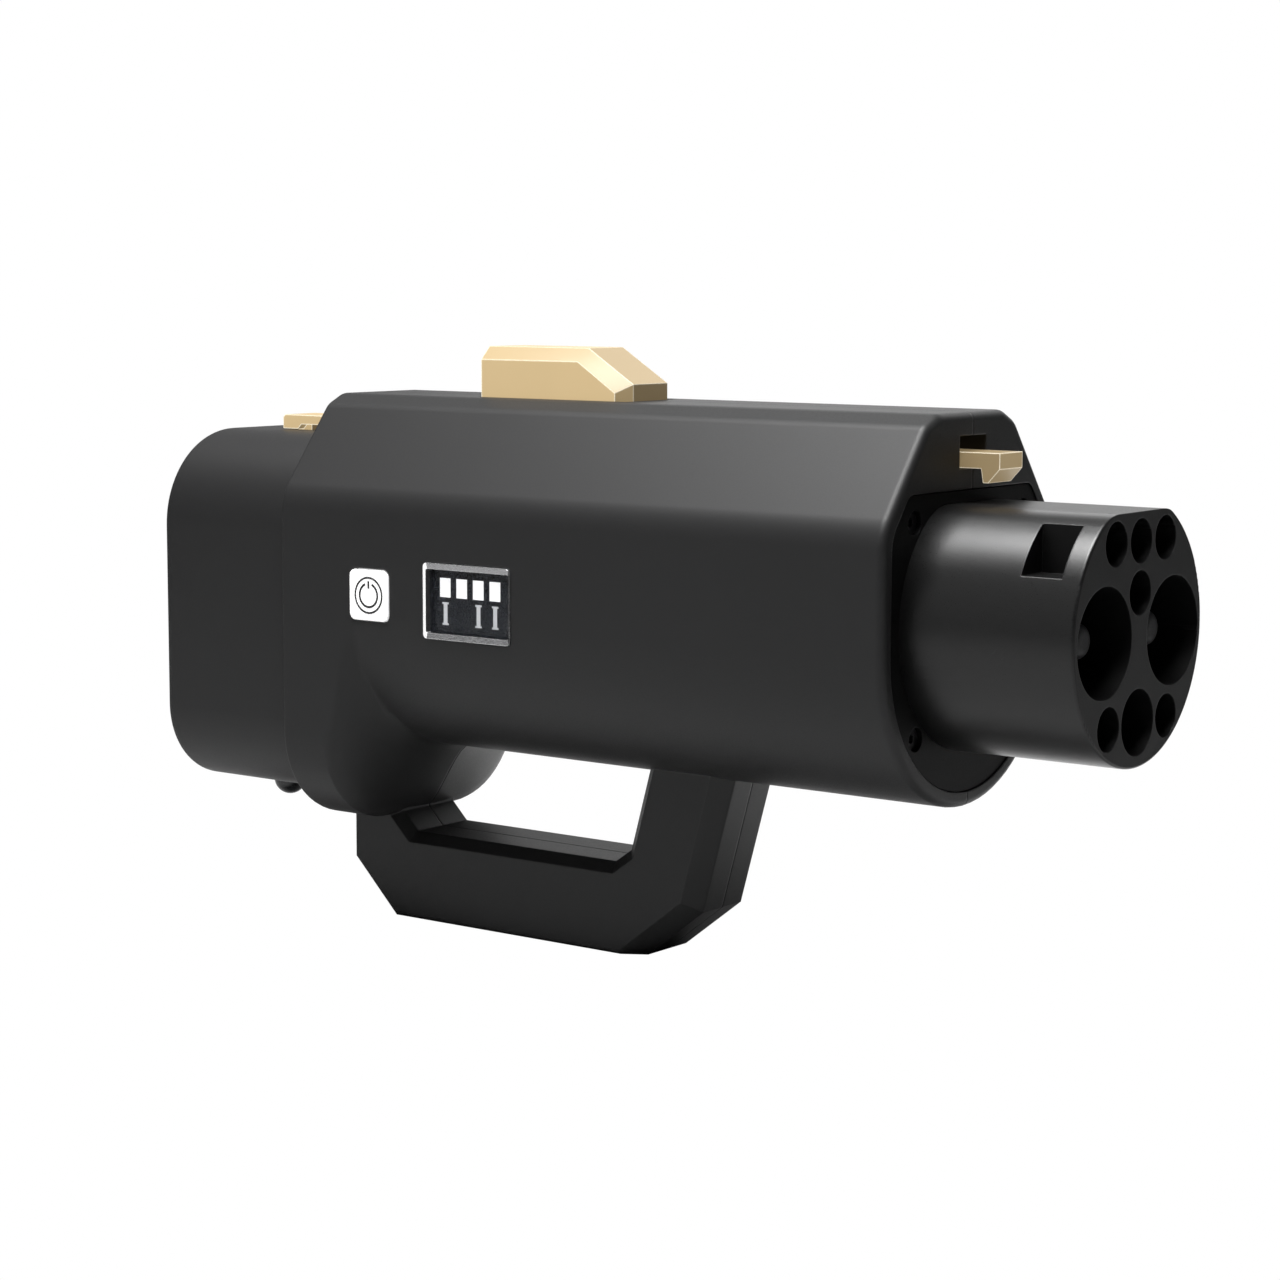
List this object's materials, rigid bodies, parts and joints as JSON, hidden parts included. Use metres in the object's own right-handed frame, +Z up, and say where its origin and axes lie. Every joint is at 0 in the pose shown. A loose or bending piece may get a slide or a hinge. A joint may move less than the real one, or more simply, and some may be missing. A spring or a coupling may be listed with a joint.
{
  "type": "electric vehicle charging adapter",
  "caption": "Hand-held charging adapter: round multi-hole plug nose in front, tall oval inlet shroud behind, bevelled body with a closed loop handle, latch button, hook and small display.",
  "frame": {"origin": "centre of the round plug nose, on its front face", "axes": "+X out of the plug nose along the plug axis, +Y towards the side without the display, +Z up, away from the handle"},
  "size_m": [0.3035, 0.085, 0.1682],
  "materials": {
    "body_plastic": "matt black with a fine texture",
    "nose_plastic": "satin black",
    "shroud_plastic": "satin black",
    "insert_plastic": "matt dark grey",
    "inner_plastic": "matt",
    "rubber_black": "smooth, slightly glossy",
    "dark_steel": "black zinc",
    "bright_steel": "plain zinc",
    "silver_contact": "silver plated",
    "gold_finish": "champagne gold, satin",
    "white_plastic": "satin white",
    "bezel_grey": "satin grey",
    "screen_glass": "clear, dark tinted",
    "segment_white": "bright white",
    "board_green": "solder mask",
    "battery_blue": "shrink sleeve",
    "bar_copper": "copper, plain",
    "wire_black": "smooth"
  },
  "bodies": {
    "base": {"housing_right": "body_plastic", "housing_left": "body_plastic", "shell_screws": "dark_steel", "plug_nose": "nose_plastic", "face_plate": "nose_plastic", "flange_gasket": "rubber_black", "flange_screws": "dark_steel", "plug_power_sleeves": "silver_contact", "plug_guard_rods": "inner_plastic", "plug_earth_sleeve": "silver_contact", "plug_signal_sleeves": "silver_contact", "contact_retainer": "inner_plastic", "inlet_shroud": "shroud_plastic", "inlet_plate": "insert_plastic", "inlet_upper_block": "insert_plastic", "inlet_lower_block": "insert_plastic", "inlet_screws": "bright_steel", "inlet_power_pins": "silver_contact", "inlet_pin_tips": "inner_plastic", "inlet_earth_pin": "silver_contact", "inlet_signal_pins": "silver_contact", "drain_plug": "rubber_black", "lever_pin": "bright_steel", "lever_spring": "bright_steel", "latch_switch": "inner_plastic", "tongue_pin": "bright_steel", "tongue_spring": "bright_steel", "power_switch": "inner_plastic", "display_bezel": "bezel_grey", "display_window": "screen_glass", "display_module": "inner_plastic", "display_segments": "segment_white", "display_board": "board_green", "board_screws": "bright_steel", "inner_frame": "inner_plastic", "battery_pack": "battery_blue", "battery_bracket": "bright_steel", "main_board": "board_green", "power_module": "inner_plastic", "capacitors": "inner_plastic", "fuse": "segment_white", "contactor_positive": "inner_plastic", "contactor_negative": "inner_plastic", "busbar_rear_positive": "bar_copper", "busbar_rear_negative": "bar_copper", "busbar_front_positive": "bar_copper", "busbar_front_negative": "bar_copper", "earth_strap": "bar_copper", "contact_board": "board_green", "signal_loom_front": "wire_black", "signal_loom_rear": "wire_black"},
    "latch_lever": {"release_button": "gold_finish", "latch_arm": "dark_steel", "latch_hook": "gold_finish"},
    "tongue": {"lock_tongue": "gold_finish"},
    "key": {"power_button": "white_plastic"}
  },
  "joints": [
    {"name": "latch_lever_hinge", "type": "hinge", "parent": "base", "child": "latch_lever", "pos_m": [-0.125, 0, 0.045], "axis": [0, -1, 0], "range_deg": [0, 2.5], "stiffness_Nm_per_rad": 6, "springref_deg": -1.72, "deforming": ["lever_spring"]},
    {"name": "tongue_hinge", "type": "hinge", "parent": "base", "child": "tongue", "pos_m": [-0.238, 0, 0.046], "axis": [0, 1, 0], "range_deg": [0, 10], "stiffness_Nm_per_rad": 0.25, "springref_deg": -11.46},
    {"name": "power_button_press", "type": "slide", "parent": "base", "child": "key", "axis": [0, 1, 0], "range_m": [0, 0.0008], "stiffness_N_per_m": 1500, "springref_m": -0.0003}
  ]
}
